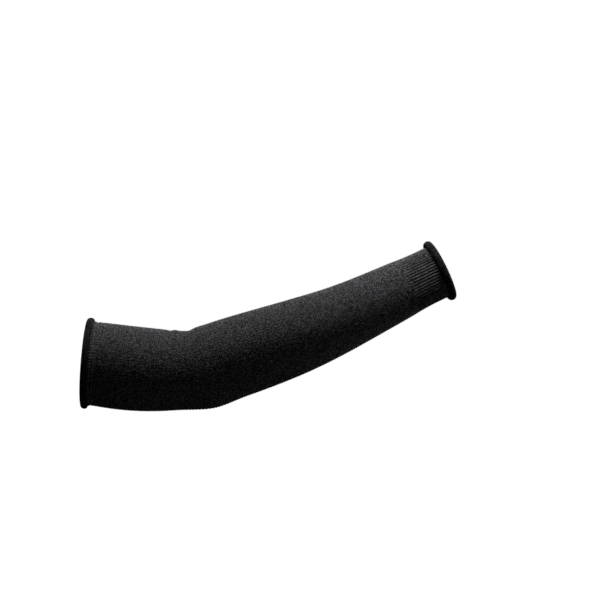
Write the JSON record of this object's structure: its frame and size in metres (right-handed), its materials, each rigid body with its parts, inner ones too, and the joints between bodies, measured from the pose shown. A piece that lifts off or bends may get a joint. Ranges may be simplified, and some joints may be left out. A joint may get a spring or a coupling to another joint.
{
  "type": "cut resistant sleeve",
  "caption": "Seamless knitted arm sleeve in its worn, bent form, with a ribbed wrist band and both free edges curled into soft rolls.",
  "frame": {"origin": "middle of the arm at the elbow, on the line that runs through the middle of the sleeve", "axes": "+X along the sleeve towards the wrist, +Z towards the crook side of the elbow, +Y completes the right-handed frame; the sleeve is alike on both sides of Y = 0"},
  "size_m": [0.3513, 0.0826, 0.1593],
  "materials": {
    "knit": "matte black plain knit",
    "rib_knit": "matte black rib knit",
    "rolled_edge": "matte black knit, purl side out"
  },
  "bodies": {
    "root": {"knit_body": "knit", "wrist_rib": "rib_knit", "wrist_roll": "rolled_edge", "upper_roll": "rolled_edge"}
  },
  "joints": []
}
